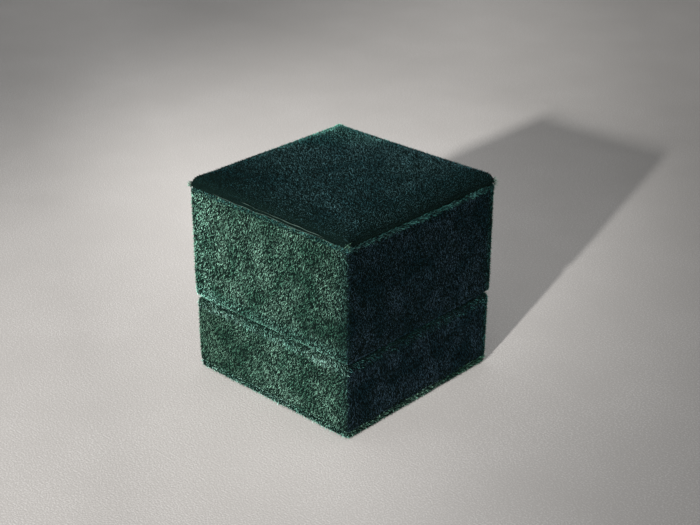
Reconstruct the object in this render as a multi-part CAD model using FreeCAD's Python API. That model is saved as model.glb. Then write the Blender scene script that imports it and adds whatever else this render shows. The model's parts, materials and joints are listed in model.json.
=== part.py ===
"""Velvet ring box with a lift-off lid, as an assembly of separate pieces.

The box is a pair of rigid board trays covered in velvet. The base holds a neck (the collar) that the
lid slides over, and a ring cushion of two padded rolls with a slit between them. The lid has a padded
panel on top, glued on as a piece of its own, and a satin lining with a padded ceiling.

Units are millimetres, +Z is up, +X is right and -Y is the front. The origin is the middle of the
underside, on the surface that the box stands on.
"""

import FreeCAD
import Part
import os

# ---------------------------------------------------------------- driving dimensions
TRAY_SIDE = 48.0  # plan size of both board trays, the same both ways
BOX_HEIGHT = 50.9  # to the crown of the padded top panel
SEAM_Z = 19.3  # middle of the parting line between base and lid
PARTING_GAP = 0.3  # open height of the parting line
TOP_SEAM_Z = 47.2  # where the top panel sits on the lid's tray

BOARD = 1.8  # greyboard of the trays
LID_VELVET = 1.7  # backing and pile on the lid's sides, which stand a little fuller than the base's
BASE_VELVET = 1.4
RIM_VELVET = 1.0  # velvet rolled over the rim of a board wall
RIM_ROUND = 0.6  # radius of that roll
SEAM_ROUND = 0.7  # radius of a side velvet's other edge, against a glued-on panel
UPRIGHT_ROUND = 2.4  # radius of the velvet round the box's upright corners
INNER_ROUND = 0.9  # radius of the turned-in velvet at the inside corners

STAY_TAPE = 0.2  # gummed paper over the board corners
STAY_REACH = 9.0  # how far a stay runs from its corner along each wall
STAY_SHORT = 0.5  # how far a stay stops short of the board's edges

BOTTOM_PANEL = 2.0  # whole thickness of the covered panel under the base
BOTTOM_BOARD = 1.0
BOTTOM_VELVET = 0.5  # pile pressed flat between the board and the table
BOTTOM_INSET = 0.6  # the panel is this much smaller all round than the base above it
PANEL_TURN = 7.0  # width of the velvet turned over a panel's hidden face
PANEL_WINDOW_ROUND = 1.0
PANEL_BOARD_ROUND = 0.9  # plan radius of a panel's board corners

COLLAR_BOARD = 1.2
COLLAR_VELVET = 0.8
COLLAR_FIT = 0.3  # running gap between the collar's velvet and the lid's turned-in velvet
COLLAR_STAND = 7.5  # how far the covered collar stands above the parting line
COLLAR_TURN = 10.0  # depth of the velvet turned down inside the collar
COLLAR_ROUND = 1.6  # radius of the covered collar's upright corners
BEND_ROUND = 0.4  # inside radius of a folded board or card strip
BUTT_GAP = 0.3  # where the two ends of a folded strip meet

CUSHION_TOP = 27.2  # crown of the two rolls
CUSHION_CARD = 1.0
CUSHION_VELVET = 0.8
CUSHION_ROUND = 5.2  # radius of the rolls' upper edges, over the velvet
CUSHION_EASE = 0.05  # gap between the cushion and the collar
SLIT_HALF = 0.35  # half the open width between the rolls

LID_TURN_IN = 10.5  # height of the velvet turned up inside the lid
LID_TURN_IN_VELVET = 0.8  # its thickness, pressed flat against the wall
BASE_TURN_IN = 8.0  # depth of the velvet turned down inside the base
LINING_CARD = 0.7  # satin-covered card strip on the lid's inner walls
LINING_GAP = 0.15

TOP_INSET = 0.4  # the top panel is this much smaller all round than the lid under it
TOP_BOARD = 1.2
TOP_UNDER_VELVET = 0.5  # velvet turned under the top panel
TOP_FOAM_EDGE = 0.4  # the foam's thickness at its edge
TOP_CROWN = 0.5  # how much the middle stands above the corners
TOP_EDGE_ROUND = 1.8  # radius of the top panel's upper edge, over the velvet
TOP_CORNER = 2.6  # plan radius of the top panel's corners

PAD_CARD = 0.8
PAD_DEPTH = 4.2  # whole depth of the padded ceiling
PAD_SATIN = 0.4
PAD_MARGIN = 0.5  # gap between the ceiling pad and the lining
PAD_CORNER = 1.4
PAD_ROUND = 1.6  # radius of the pad's lower edge

CLEAR = 1.0  # how far a cutting tool runs past what it cuts

# ---------------------------------------------------------------- derived places
TRAY_OUTER = TRAY_SIDE / 2.0
TRAY_INNER = TRAY_OUTER - BOARD
BASE_OUTER = TRAY_OUTER + BASE_VELVET
LID_OUTER = TRAY_OUTER + LID_VELVET
LID_INNER = TRAY_INNER - LID_TURN_IN_VELVET
BASE_RIM_Z = SEAM_Z - PARTING_GAP / 2.0
LID_RIM_Z = SEAM_Z + PARTING_GAP / 2.0
BASE_WALL_TOP_Z = BASE_RIM_Z - RIM_VELVET
LID_WALL_LOW_Z = LID_RIM_Z + RIM_VELVET
BASE_FLOOR_Z = BOTTOM_PANEL + BOARD
LID_CEILING_Z = TOP_SEAM_Z - BOARD
COLLAR_OUTER = LID_INNER - COLLAR_FIT
COLLAR_BOARD_OUTER = COLLAR_OUTER - COLLAR_VELVET
COLLAR_BOARD_INNER = COLLAR_BOARD_OUTER - COLLAR_BOARD
COLLAR_INNER = COLLAR_BOARD_INNER - COLLAR_VELVET
COLLAR_TOP_Z = SEAM_Z + COLLAR_STAND
CUSHION_HALF = COLLAR_INNER - CUSHION_EASE


# ---------------------------------------------------------------- shape helpers
def block(x0, x1, y0, y1, z0, z1):
    """A plain box between two corners."""
    return Part.makeBox(x1 - x0, y1 - y0, z1 - z0, FreeCAD.Vector(x0, y0, z0))


def is_upright(edge):
    """Whether an edge stands parallel to the Z axis."""
    box = edge.BoundBox
    return box.ZLength > 1e-3 and box.XLength < 1e-6 and box.YLength < 1e-6


def prism(half, z0, z1, corner):
    """A square block about the Z axis, with its upright corners rounded if corner isn't zero."""
    shape = block(-half, half, -half, half, z0, z1)
    if corner == 0:
        return shape
    return shape.makeFillet(corner, [edge for edge in shape.Edges if is_upright(edge)])


def tube(outer, inner, z0, z1, outer_corner, inner_corner):
    """A square tube about the Z axis, open at both ends."""
    hollow = prism(inner, z0 - CLEAR, z1 + CLEAR, inner_corner)
    return prism(outer, z0, z1, outer_corner).cut(hollow)


def rounded_at(shape, z, radius, beyond=0.0):
    """The shape with its edges in the level plane z rounded, where they lie further out than beyond."""
    chosen = []
    for edge in shape.Edges:
        box = edge.BoundBox
        level = box.ZLength < 1e-6 and abs(box.ZMin - z) < 1e-6
        reach = max(-box.XMin, box.XMax, -box.YMin, box.YMax)
        if level and reach > beyond:
            chosen.append(edge)
    return shape.makeFillet(radius, chosen)


def quarter_turned(shape):
    """The shape four times over, by quarter turns about the Z axis."""
    copies = []
    for quarter in range(4):
        copy = shape.copy()
        copy.rotate(FreeCAD.Vector(0, 0, 0), FreeCAD.Vector(0, 0, 1), 90.0 * quarter)
        copies.append(copy)
    return copies


def tray_walls(prefix, z0, z1):
    """Four board walls butted into a frame: front and back run full width, the sides fit between."""
    return {
        prefix + "_wall_front": block(-TRAY_OUTER, TRAY_OUTER, -TRAY_OUTER, -TRAY_INNER, z0, z1),
        prefix + "_wall_back": block(-TRAY_OUTER, TRAY_OUTER, TRAY_INNER, TRAY_OUTER, z0, z1),
        prefix + "_wall_left": block(-TRAY_OUTER, -TRAY_INNER, -TRAY_INNER, TRAY_INNER, z0, z1),
        prefix + "_wall_right": block(TRAY_INNER, TRAY_OUTER, -TRAY_INNER, TRAY_INNER, z0, z1),
    }


def corner_stays(z0, z1):
    """Four strips of gummed paper folded round the board corners, as separate solids."""
    start = TRAY_OUTER - STAY_REACH
    skin = TRAY_OUTER + STAY_TAPE
    corner = block(start, skin, start, skin, z0, z1)
    board = block(start - CLEAR, TRAY_OUTER, start - CLEAR, TRAY_OUTER, z0 - CLEAR, z1 + CLEAR)
    return Part.makeCompound(quarter_turned(corner.cut(board)))


def side_velvet(outer, inner, z_open, z_rim, z_board_edge, z_turn_in, stays):
    """The velvet strip round a tray: the outside, the roll over the board rim, and the turn-in.

    z_open is the end against a glued-on panel and z_rim the rolled end. z_turn_in is where the velvet
    stops on the inside of the wall.
    """
    outside = tube(outer, TRAY_OUTER, min(z_open, z_rim), max(z_open, z_rim), UPRIGHT_ROUND, 0)
    roll = tube(outer, inner, min(z_board_edge, z_rim), max(z_board_edge, z_rim), UPRIGHT_ROUND, INNER_ROUND)
    turn_in = tube(TRAY_INNER, inner, min(z_turn_in, z_rim), max(z_turn_in, z_rim), 0, INNER_ROUND)
    strip = outside.fuse([roll, turn_in]).removeSplitter()
    strip = rounded_at(strip, z_rim, RIM_ROUND)
    strip = rounded_at(strip, z_open, SEAM_ROUND, beyond=TRAY_OUTER + STAY_TAPE)
    return strip.cut(stays)


def butt_slot(half_in, half_out, z0, z1):
    """The gap where the ends of a folded strip meet, on the back wall beside its left corner."""
    return block(-half_in, BUTT_GAP - half_in, half_in - CLEAR, half_out + CLEAR, z0 - CLEAR, z1 + CLEAR)


# ---------------------------------------------------------------- base
def bottom_panel():
    """The covered panel glued under the base tray: a board and its velvet."""
    board_top = BOTTOM_VELVET + BOTTOM_BOARD
    board = prism(TRAY_OUTER, BOTTOM_VELVET, board_top, PANEL_BOARD_ROUND)
    velvet = prism(BASE_OUTER - BOTTOM_INSET, 0.0, BOTTOM_PANEL, UPRIGHT_ROUND)
    velvet = rounded_at(velvet, 0.0, BOTTOM_VELVET)
    velvet = rounded_at(velvet, BOTTOM_PANEL, BOTTOM_PANEL - board_top)
    window = prism(TRAY_OUTER - PANEL_TURN, board_top, BOTTOM_PANEL + CLEAR, PANEL_WINDOW_ROUND)
    return {
        "base_bottom_board": board,
        "base_bottom_velvet": velvet.cut(board).cut(window),
    }


def base_tray():
    """Floor, walls and corner tape of the base's board tray."""
    floor = block(-TRAY_OUTER, TRAY_OUTER, -TRAY_OUTER, TRAY_OUTER, BOTTOM_PANEL, BASE_FLOOR_Z)
    nodes = {"base_tray_floor": floor}
    nodes.update(tray_walls("base", BASE_FLOOR_Z, BASE_WALL_TOP_Z))
    nodes["base_corner_stays"] = corner_stays(BOTTOM_PANEL + STAY_SHORT, BASE_WALL_TOP_Z - STAY_SHORT)
    return nodes


def base_side(stays):
    """Velvet round the base, turned in down to where the collar holds it."""
    strip = side_velvet(BASE_OUTER, COLLAR_OUTER, BOTTOM_PANEL, BASE_RIM_Z, BASE_WALL_TOP_Z,
                        BASE_RIM_Z - BASE_TURN_IN, stays)
    return {"base_side_velvet": strip}


def collar():
    """The neck that the lid slides over: a folded board strip and the velvet over its upper edge."""
    board_top = COLLAR_TOP_Z - COLLAR_VELVET
    bend = COLLAR_ROUND - COLLAR_VELVET
    whole_board = tube(COLLAR_BOARD_OUTER, COLLAR_BOARD_INNER, BASE_FLOOR_Z, board_top, bend, BEND_ROUND)
    slot = butt_slot(COLLAR_BOARD_INNER, COLLAR_BOARD_OUTER, BASE_FLOOR_Z, board_top)
    velvet = prism(COLLAR_OUTER, BASE_FLOOR_Z, COLLAR_TOP_Z, COLLAR_ROUND)
    velvet = velvet.cut(prism(COLLAR_INNER, BASE_FLOOR_Z - CLEAR, COLLAR_TOP_Z + CLEAR, 0))
    velvet = rounded_at(velvet, COLLAR_TOP_Z, RIM_ROUND)
    below_turn_in = prism(COLLAR_BOARD_INNER, BASE_FLOOR_Z - CLEAR, COLLAR_TOP_Z - COLLAR_TURN, BEND_ROUND)
    return {
        "collar_board": whole_board.cut(slot),
        "collar_velvet": velvet.cut(whole_board).cut(below_turn_in),
    }


def cushion_roll(side, inset):
    """One roll of the ring cushion, inset from the velvet's outer face: side is 1 behind, -1 in front."""
    near = side * (SLIT_HALF + inset)
    far = side * (CUSHION_HALF - inset)
    half = CUSHION_HALF - inset
    top = CUSHION_TOP - inset
    roll = block(-half, half, min(near, far), max(near, far), BASE_FLOOR_Z + CUSHION_CARD, top)
    return rounded_at(roll, top, CUSHION_ROUND - inset)


def cushion():
    """Stiff card, two foam rolls, and the one piece of velvet over both and tucked down the slit."""
    card_top = BASE_FLOOR_Z + CUSHION_CARD
    card = block(-CUSHION_HALF, CUSHION_HALF, -CUSHION_HALF, CUSHION_HALF, BASE_FLOOR_Z, card_top)
    foam_front = cushion_roll(-1, CUSHION_VELVET)
    foam_back = cushion_roll(1, CUSHION_VELVET)
    half_width = CUSHION_HALF - CUSHION_VELVET
    tuck = block(-half_width, half_width, -SLIT_HALF, SLIT_HALF, card_top, card_top + CUSHION_VELVET)
    cover = cushion_roll(-1, 0.0).fuse([cushion_roll(1, 0.0), tuck]).removeSplitter()
    return {
        "cushion_card": card,
        "cushion_foam_front": foam_front,
        "cushion_foam_back": foam_back,
        "cushion_velvet": cover.cut(foam_front).cut(foam_back),
    }


# ---------------------------------------------------------------- lid
def lid_tray():
    """Top, walls and corner tape of the lid's board tray."""
    top = block(-TRAY_OUTER, TRAY_OUTER, -TRAY_OUTER, TRAY_OUTER, LID_CEILING_Z, TOP_SEAM_Z)
    nodes = {"lid_tray_top": top}
    nodes.update(tray_walls("lid", LID_WALL_LOW_Z, LID_CEILING_Z))
    nodes["lid_corner_stays"] = corner_stays(LID_WALL_LOW_Z + STAY_SHORT, TOP_SEAM_Z - STAY_SHORT)
    return nodes


def lid_side(stays):
    """Velvet round the lid, turned up inside the wall as far as it rubs on the collar."""
    strip = side_velvet(LID_OUTER, LID_INNER, TOP_SEAM_Z, LID_RIM_Z, LID_WALL_LOW_Z,
                        LID_RIM_Z + LID_TURN_IN, stays)
    return {"lid_side_velvet": strip}


def domed(half, corner, z0, z_crown, edge_round):
    """A square panel with rounded corners and upper edge, domed so that its corners are TOP_CROWN lower."""
    plate = rounded_at(prism(half, z0, z_crown, corner), z_crown, edge_round)
    radius = (2.0 * half * half + TOP_CROWN * TOP_CROWN) / (2.0 * TOP_CROWN)
    return plate.common(Part.makeSphere(radius, FreeCAD.Vector(0, 0, z_crown - radius)))


def top_panel():
    """The padded panel on the lid: board, thin foam, and velvet wrapped round and turned under."""
    board_low = TOP_SEAM_Z + TOP_UNDER_VELVET
    board_top = board_low + TOP_BOARD
    foam_top = board_top + TOP_FOAM_EDGE + TOP_CROWN
    board = prism(TRAY_OUTER, board_low, board_top, PANEL_BOARD_ROUND)
    foam = domed(TRAY_OUTER, PANEL_BOARD_ROUND, board_top, foam_top, TOP_FOAM_EDGE)
    velvet = domed(LID_OUTER - TOP_INSET, TOP_CORNER, TOP_SEAM_Z, BOX_HEIGHT, TOP_EDGE_ROUND)
    window = prism(TRAY_OUTER - PANEL_TURN, TOP_SEAM_Z - CLEAR, board_low, PANEL_WINDOW_ROUND)
    return {
        "lid_top_board": board,
        "lid_top_foam": foam,
        "lid_top_velvet": velvet.cut(board).cut(foam).cut(window),
    }


def lid_lining():
    """Satin-covered card strip on the lid's inner walls, above the turned-up velvet."""
    strip_low = LID_RIM_Z + LID_TURN_IN + LINING_GAP
    strip_inner = TRAY_INNER - LINING_CARD
    strip = tube(TRAY_INNER, strip_inner, strip_low, LID_CEILING_Z, 0, BEND_ROUND)
    return {"lid_lining_strip": strip.cut(butt_slot(strip_inner, TRAY_INNER, strip_low, LID_CEILING_Z))}


def lid_pad():
    """The padded ceiling inside the lid: card, foam and satin."""
    half = TRAY_INNER - LINING_CARD - PAD_MARGIN
    inner_half = half - PAD_SATIN
    inner_corner = PAD_CORNER - PAD_SATIN
    card_low = LID_CEILING_Z - PAD_CARD
    pad_low = LID_CEILING_Z - PAD_DEPTH
    foam_low = pad_low + PAD_SATIN
    card = prism(inner_half, card_low, LID_CEILING_Z, inner_corner)
    foam = rounded_at(prism(inner_half, foam_low, card_low, inner_corner), foam_low, PAD_ROUND - PAD_SATIN)
    satin = rounded_at(prism(half, pad_low, LID_CEILING_Z, PAD_CORNER), pad_low, PAD_ROUND)
    return {
        "lid_pad_card": card,
        "lid_pad_foam": foam,
        "lid_pad_satin": satin.cut(card).cut(foam),
    }


# ---------------------------------------------------------------- assembly
def build():
    """Every piece of the box, as node name to shape."""
    nodes = {}
    nodes.update(bottom_panel())
    nodes.update(base_tray())
    nodes.update(base_side(nodes["base_corner_stays"]))
    nodes.update(collar())
    nodes.update(cushion())
    nodes.update(lid_tray())
    nodes.update(lid_side(nodes["lid_corner_stays"]))
    nodes.update(top_panel())
    nodes.update(lid_lining())
    nodes.update(lid_pad())
    return nodes


def main():
    """Write one STEP file per piece and print what each one measures."""
    os.makedirs("parts", exist_ok=True)
    for name, shape in sorted(build().items()):
        if not shape.isValid() or shape.Volume <= 0:
            raise ValueError(name + " is not a valid solid")
        shape.exportStep(os.path.join("parts", name + ".step"))
        box = shape.BoundBox
        print(f"{name:20s} solids {len(shape.Solids)}, volume {shape.Volume:.1f}, z {box.ZMin:.2f} to {box.ZMax:.2f}")


main()
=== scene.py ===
"""Looks of a velvet ring box with a lift-off lid.

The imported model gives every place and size. Each velvet strip is a sheet swept round the box's board
trays, with its pile grown on it as a piece of its own. The top panel, the ring cushion and the lid's
padded ceiling are swelled by cloth simulation. Lengths are metres, +Z is up and -Y is the front.
"""

from __future__ import annotations

import json
import logging
import math
from collections.abc import Callable
from dataclasses import dataclass
from enum import Enum

import bmesh
import bpy
import numpy as np
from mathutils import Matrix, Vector

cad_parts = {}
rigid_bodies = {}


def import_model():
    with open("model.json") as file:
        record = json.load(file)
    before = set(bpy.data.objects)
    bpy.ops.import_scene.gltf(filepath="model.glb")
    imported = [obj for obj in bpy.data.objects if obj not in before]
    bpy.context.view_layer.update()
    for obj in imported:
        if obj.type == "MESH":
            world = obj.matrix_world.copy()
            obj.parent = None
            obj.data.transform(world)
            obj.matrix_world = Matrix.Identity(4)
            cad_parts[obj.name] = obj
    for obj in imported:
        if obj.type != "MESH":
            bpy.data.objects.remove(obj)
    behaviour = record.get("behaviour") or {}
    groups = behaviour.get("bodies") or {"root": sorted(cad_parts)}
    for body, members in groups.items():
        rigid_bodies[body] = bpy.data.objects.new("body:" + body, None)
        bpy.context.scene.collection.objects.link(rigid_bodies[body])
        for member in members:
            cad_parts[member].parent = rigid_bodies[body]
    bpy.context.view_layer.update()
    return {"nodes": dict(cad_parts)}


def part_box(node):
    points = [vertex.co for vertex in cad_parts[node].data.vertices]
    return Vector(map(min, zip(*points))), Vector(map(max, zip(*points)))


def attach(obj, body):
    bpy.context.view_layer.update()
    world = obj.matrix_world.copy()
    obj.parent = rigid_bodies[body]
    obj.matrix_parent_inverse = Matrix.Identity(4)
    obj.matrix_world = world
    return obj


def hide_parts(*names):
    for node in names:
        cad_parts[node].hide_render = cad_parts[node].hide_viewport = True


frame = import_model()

MM = 0.001
WHOLE_TURN = 2 * math.pi
QUARTER_TURN = math.pi / 2
BARE = 0.02  # where a pile would stand less far than this, there is none
LOG = logging.getLogger("ring_box")
Colour = tuple[float, float, float]
Line = list["Corner"]


class Side(Enum):
    """The four upright sides, by quarter turns from the front."""

    FRONT = 0
    RIGHT = 1
    BACK = 2
    LEFT = 3


# ------------------------------------------------------------------ node trees
class Tree:
    """A node tree with short calls for adding nodes and joining sockets."""

    def __init__(self, tree: bpy.types.NodeTree) -> None:
        """Wraps a tree that is already there."""
        self.tree = tree

    def add(self, kind: str, values: dict | None = None, **settings: object) -> bpy.types.Node:
        """Adds a node.

        Args:
            kind: The node's type name.
            values: Default values, or sockets to join, by input name or index.
            settings: Properties of the node itself.

        Returns:
            The new node.
        """
        node = self.tree.nodes.new(kind)
        for name, value in settings.items():
            setattr(node, name, value)
        for key, value in (values or {}).items():
            self.feed(node.inputs[key], value)
        return node

    def feed(self, socket: bpy.types.NodeSocket, value: object) -> None:
        """Joins a socket to another one, or sets its own value.

        Args:
            socket: The input.
            value: Another node's output, or a plain value.
        """
        if isinstance(value, bpy.types.NodeSocket):
            self.tree.links.new(value, socket)
        else:
            socket.default_value = value

    def maths(self, operation: str, first: object, second: object = 0.0) -> bpy.types.NodeSocket:
        """Adds a Math node and returns its result."""
        node = self.add("ShaderNodeMath", {0: first, 1: second}, operation=operation)
        return node.outputs[0]

    def vector(self, operation: str, first: object, second: object) -> bpy.types.NodeSocket:
        """Adds a Vector Math node on two vectors and returns its vector."""
        node = self.add("ShaderNodeVectorMath", {0: first, 1: second}, operation=operation)
        return node.outputs["Vector"]

    def scaled(self, vector: object, by: object) -> bpy.types.NodeSocket:
        """Returns a vector times a number."""
        node = self.add("ShaderNodeVectorMath", {0: vector, "Scale": by}, operation="SCALE")
        return node.outputs["Vector"]

    def dot(self, first: object, second: object) -> bpy.types.NodeSocket:
        """Returns two vectors' dot product."""
        node = self.add("ShaderNodeVectorMath", {0: first, 1: second}, operation="DOT_PRODUCT")
        return node.outputs["Value"]

    def grey(self, value: object) -> bpy.types.NodeSocket:
        """Returns a number as a grey colour."""
        return self.add("ShaderNodeCombineColor", {0: value, 1: value, 2: value}).outputs[0]

    def place(self) -> bpy.types.NodeSocket:
        """Returns the position on the object."""
        return self.add("ShaderNodeTexCoord").outputs["Object"]

    def noise(self, place: object, scale: object, detail: float, **values: float) -> bpy.types.NodeSocket:
        """Returns a cloudy pattern from 0 to 1."""
        node = self.add("ShaderNodeTexNoise", {"Vector": place, "Scale": scale, "Detail": detail, **values})
        return node.outputs["Fac"]

    def ramp(
        self, value: object, low: float, high: float, to_low: float = 0.0, to_high: float = 1.0
    ) -> bpy.types.NodeSocket:
        """Maps a value from one range to another, held at the ends.

        Args:
            value: The number or socket to map.
            low: Where its own range starts.
            high: Where its own range ends.
            to_low: What the start becomes.
            to_high: What the end becomes.

        Returns:
            The mapped value.
        """
        node = self.add(
            "ShaderNodeMapRange",
            {"Value": value, "From Min": low, "From Max": high, "To Min": to_low, "To Max": to_high},
        )
        return node.outputs["Result"]

    def mix(self, factor: object, first: object, second: object, blend: str = "MIX") -> bpy.types.NodeSocket:
        """Mixes two colours.

        Args:
            factor: How much of the second there is.
            first: The first colour.
            second: The second colour.
            blend: The way they mix.

        Returns:
            The mixed colour.
        """
        node = self.add("ShaderNodeMix", data_type="RGBA", blend_type=blend)
        self.feed(node.inputs["Factor"], factor)
        self.feed(node.inputs["A"], first)
        self.feed(node.inputs["B"], second)
        return [out for out in node.outputs if out.type == "RGBA"][0]


def rgba(colour: Colour) -> tuple[float, float, float, float]:
    """Returns a colour with full alpha."""
    return (*colour, 1.0)


def new_group(name: str, inputs: dict[str, float], outputs: tuple[str, ...]) -> tuple[Tree, object, object]:
    """Starts a shader node group.

    Args:
        name: The group's name.
        inputs: Each number that it takes, with its default.
        outputs: The name of each number that it puts out.

    Returns:
        The tree, its input node and its output node.
    """
    group = bpy.data.node_groups.new(name, "ShaderNodeTree")
    for key, value in inputs.items():
        socket = group.interface.new_socket(key, in_out="INPUT", socket_type="NodeSocketFloat")
        socket.default_value = value
    for key in outputs:
        group.interface.new_socket(key, in_out="OUTPUT", socket_type="NodeSocketFloat")
    tree = Tree(group)
    return tree, tree.add("NodeGroupInput"), tree.add("NodeGroupOutput")


def brushed_group() -> bpy.types.NodeTree:
    """Builds the patches that a hand leaves in a pile: where it lies over and where it stands.

    Returns:
        The group.
    """
    tree, given, put = new_group("brushed", {"Size": 8 * MM}, ("Patch", "Fine"))
    place = tree.place()
    scale = tree.maths("DIVIDE", 1.0, given.outputs["Size"])
    finer = 9.0
    large = tree.noise(place, scale, 2.0, Distortion=0.6)
    fine = tree.noise(place, tree.maths("MULTIPLY", scale, finer), 2.0)
    tree.feed(put.inputs["Patch"], tree.ramp(large, 0.38, 0.62))
    tree.feed(put.inputs["Fine"], tree.ramp(fine, 0.3, 0.7))
    return tree.tree


def weave_group() -> bpy.types.NodeTree:
    """Builds crossing threads: a height, and a mask that is high on the warp.

    Returns:
        The group.
    """
    tree, given, put = new_group("weave", {"Thread": 0.3 * MM}, ("Height", "Warp"))
    waves_to_thread = 0.16
    scale = tree.maths("DIVIDE", waves_to_thread, given.outputs["Thread"])
    bands = {"Vector": tree.place(), "Scale": scale, "Distortion": 1.2, "Detail": 1.0}
    warp, weft, fill = (
        tree.add("ShaderNodeTexWave", bands, bands_direction=way).outputs["Fac"] for way in ("X", "Z", "Y")
    )
    across = tree.maths("MAXIMUM", weft, fill)
    tree.feed(put.inputs["Height"], tree.maths("MULTIPLY", across, warp))
    tree.feed(put.inputs["Warp"], warp)
    return tree.tree


def pulp_group() -> bpy.types.NodeTree:
    """Builds the fibres and specks of pressed pulp, for board, card and paper.

    Returns:
        The group.
    """
    tree, given, put = new_group("pulp", {"Fibre": 0.5 * MM}, ("Speck", "Height"))
    place = tree.place()
    stretch = tree.add("ShaderNodeMapping", {"Vector": place, "Scale": (1.0, 3.0, 1.6)})
    scale = tree.maths("DIVIDE", 1.0, given.outputs["Fibre"])
    speck_share = 0.6
    speck_scale = tree.maths("MULTIPLY", scale, speck_share)
    speck = tree.add("ShaderNodeTexVoronoi", {"Vector": place, "Scale": speck_scale})
    tree.feed(put.inputs["Speck"], tree.ramp(speck.outputs["Distance"], 0.05, 0.3, 1.0, 0.0))
    tree.feed(put.inputs["Height"], tree.noise(stretch.outputs[0], scale, 4.0))
    return tree.tree


class Groups:
    """The shader groups that several finishes share, each built once."""

    def __init__(self) -> None:
        """Builds all the groups."""
        self.brushed = brushed_group()
        self.weave = weave_group()
        self.pulp = pulp_group()


# ------------------------------------------------------------------ finishes
def start_material(name: str) -> tuple[Tree, bpy.types.Node, bpy.types.Material]:
    """Starts a material with one Principled shader.

    Args:
        name: The material's name.

    Returns:
        The tree, the shader and the material.
    """
    material = bpy.data.materials.new(name)
    material.use_nodes = True
    material.node_tree.nodes.clear()
    tree = Tree(material.node_tree)
    shader = tree.add("ShaderNodeBsdfPrincipled")
    out = tree.add("ShaderNodeOutputMaterial")
    tree.feed(out.inputs["Surface"], shader.outputs[0])
    return tree, shader, material


def group_node(tree: Tree, group: bpy.types.NodeTree, values: dict[str, float]) -> bpy.types.Node:
    """Places a shared group in a material.

    Args:
        tree: The material's tree.
        group: The group.
        values: The material's own values for the group's inputs.

    Returns:
        The group's node.
    """
    return tree.add("ShaderNodeGroup", values, node_tree=group)


def set_constants(shader: bpy.types.Node, values: dict[str, object]) -> None:
    """Sets what is the same all over a surface on the shader's own sockets."""
    for key, value in values.items():
        shader.inputs[key].default_value = value


def bumped(tree: Tree, shader: bpy.types.Node, height: object, strength: float, distance: float) -> None:
    """Roughens a surface.

    Args:
        tree: The material's tree.
        shader: Its shader.
        height: The pattern that stands out.
        strength: How much of it shows.
        distance: How far it stands out.
    """
    bump = tree.add("ShaderNodeBump", {"Strength": strength, "Distance": distance, "Height": height})
    tree.feed(shader.inputs["Normal"], bump.outputs[0])


@dataclass(frozen=True)
class PaintedLight:
    """A stretch of painted light: a tint that lightens the colour as light would, or darkens it as shade
    would.

    It comes in along a direction, between two distances in millimetres.
    """

    tint: Colour
    way: Colour
    rise: tuple[float, float]

    def over(self, tree: Tree, place: object, colour: object) -> bpy.types.NodeSocket:
        """Paints light or shade into a colour where the stretch reaches.

        Args:
            tree: The material's tree.
            place: The position on the object.
            colour: The colour before the painted light or shade.

        Returns:
            The colour with the painted light or shade over it.
        """
        low, high = self.rise
        share = tree.ramp(tree.dot(place, self.way), low * MM, high * MM)
        return tree.mix(share, colour, tree.mix(1.0, colour, rgba(self.tint), "MULTIPLY"))


@dataclass(frozen=True)
class PileFinish:
    """Standing pile, painted dark at its root as shade deep in the pile and lighter at its tip, each tuft in
    a random tone of its own.
    """

    name: str
    root: Colour
    tip: Colour
    pressed: Colour
    patch: float = 8 * MM
    sheen: float = 0.1
    sheen_tint: Colour = (0.15, 0.6, 0.65)
    dull: float = 0.06
    glint: float = 3.3
    painted_lights: tuple[PaintedLight, ...] = ()

    def material(self, groups: Groups) -> bpy.types.Material:
        """Builds the material, which reads the tufts' own tip and tone attributes.

        Args:
            groups: The shared shader groups.

        Returns:
            The material.
        """
        tree, shader, material = start_material(self.name)
        tip = tree.add("ShaderNodeAttribute", attribute_name="tip").outputs["Fac"]
        tone = tree.add("ShaderNodeAttribute", attribute_name="tone").outputs["Fac"]
        brushed = group_node(tree, groups.brushed, {"Size": self.patch})
        standing = tree.mix(brushed.outputs["Patch"], rgba(self.pressed), rgba(self.tip))
        # The dark root colour is painted shade deep in the pile.
        shade = tree.mix(tree.ramp(tip, 0.0, 0.85), rgba(self.root), standing)
        # Each tuft's random tone runs from dull to glint; the brightest few are painted glints.
        bright = tree.ramp(tree.maths("POWER", tone, 2.0), 0.0, 1.0, self.dull, self.glint)
        toned = tree.mix(1.0, shade, tree.grey(bright), "MULTIPLY")
        place = tree.place()
        for painted in self.painted_lights:
            toned = painted.over(tree, place, toned)
        tree.feed(shader.inputs["Base Color"], toned)
        set_constants(shader, {
            "Roughness": 0.55, "Specular IOR Level": 0.06, "Sheen Weight": self.sheen,
            "Sheen Roughness": 0.35, "Sheen Tint": rgba(self.sheen_tint),
        })
        return material


@dataclass(frozen=True)
class BackingFinish:
    """The woven cloth that a pile stands on."""

    name: str
    colour: Colour
    worn: Colour
    thread: float = 0.25 * MM
    roughness: float = 0.9
    specular: float = 0.05

    def material(self, groups: Groups) -> bpy.types.Material:
        """Builds the material, with threads in its colour and its bump.

        Args:
            groups: The shared shader groups.

        Returns:
            The material.
        """
        tree, shader, material = start_material(self.name)
        weave = group_node(tree, groups.weave, {"Thread": self.thread})
        brushed = group_node(tree, groups.brushed, {"Size": 5 * MM})
        amount = tree.maths("MULTIPLY", weave.outputs["Height"], brushed.outputs["Fine"])
        tree.feed(shader.inputs["Base Color"], tree.mix(amount, rgba(self.colour), rgba(self.worn)))
        bumped(tree, shader, weave.outputs["Height"], 0.5, 0.1 * MM)
        set_constants(shader, {"Roughness": self.roughness, "Specular IOR Level": self.specular})
        return material


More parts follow.
